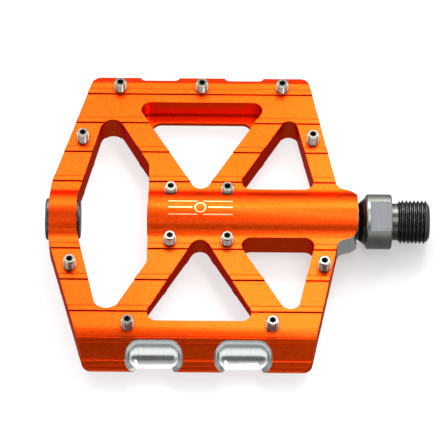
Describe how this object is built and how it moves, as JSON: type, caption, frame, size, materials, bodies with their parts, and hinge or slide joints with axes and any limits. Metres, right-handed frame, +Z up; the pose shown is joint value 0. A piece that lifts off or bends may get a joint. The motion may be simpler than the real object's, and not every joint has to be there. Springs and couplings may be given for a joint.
{
  "type": "flat pedal",
  "caption": "Bicycle platform pedal: windowed flat deck with grip ribs and steel traction pins, spinning on a threaded spindle with wrench flats.",
  "frame": {"origin": "centre of the shoulder that seats on the crank arm, on the spindle axis", "axes": "+X along the spindle towards the crank, +Z up from the deck at rest, Y across the platform"},
  "size_m": [0.1255, 0.1148, 0.018],
  "materials": {
    "anodised_orange": "satin orange anodised aluminium, bare metal in the scoops",
    "pin_steel": "bright zinc plated steel",
    "spindle_steel": "black-oxidised steel with ground wrench flats",
    "bearing_steel": "polished bearing steel",
    "cage_steel": "pressed steel",
    "nut_steel": "zinc plated steel",
    "spring_steel": "phosphated spring steel",
    "bushing_bronze": "lined bronze",
    "seal_rubber": "matt black rubber",
    "cap_dark": "black anodised aluminium",
    "plug_dark": "dark nickel plated steel"
  },
  "bodies": {
    "spindle_assembly": {"spindle": "spindle_steel", "lock_nut": "nut_steel", "lock_washer": "nut_steel", "bearing_spacer": "nut_steel", "inner_bearing_inner_ring": "bearing_steel", "outer_bearing_inner_ring": "bearing_steel"},
    "platform": {"pedal_body": "anodised_orange", "traction_pins_top": "pin_steel", "traction_pins_bottom": "pin_steel", "bushing": "bushing_bronze", "crank_seal": "seal_rubber", "retaining_ring": "spring_steel", "dust_cap": "cap_dark", "dust_cap_o_ring": "seal_rubber", "access_plug": "plug_dark", "access_plug_o_ring": "seal_rubber", "inner_bearing_outer_ring": "bearing_steel", "outer_bearing_outer_ring": "bearing_steel", "inner_bearing_shields": "cage_steel", "outer_bearing_shields": "cage_steel"},
    "inner_ball_set": {"inner_bearing_balls": "bearing_steel", "inner_bearing_cage": "cage_steel"},
    "outer_ball_set": {"outer_bearing_balls": "bearing_steel", "outer_bearing_cage": "cage_steel"}
  },
  "joints": [
    {"name": "platform_spin", "type": "hinge", "parent": "spindle_assembly", "child": "platform", "pos_m": [0, 0, 0], "axis": [1, 0, 0], "continuous": true},
    {"name": "inner_balls_orbit", "type": "hinge", "parent": "spindle_assembly", "child": "inner_ball_set", "pos_m": [0, 0, 0], "axis": [1, 0, 0], "continuous": true},
    {"name": "outer_balls_orbit", "type": "hinge", "parent": "spindle_assembly", "child": "outer_ball_set", "pos_m": [0, 0, 0], "axis": [1, 0, 0], "continuous": true}
  ],
  "couplings": [
    {"joint": "inner_balls_orbit", "follows": "platform_spin", "ratio": 0.5882},
    {"joint": "outer_balls_orbit", "follows": "platform_spin", "ratio": 0.5882}
  ]
}
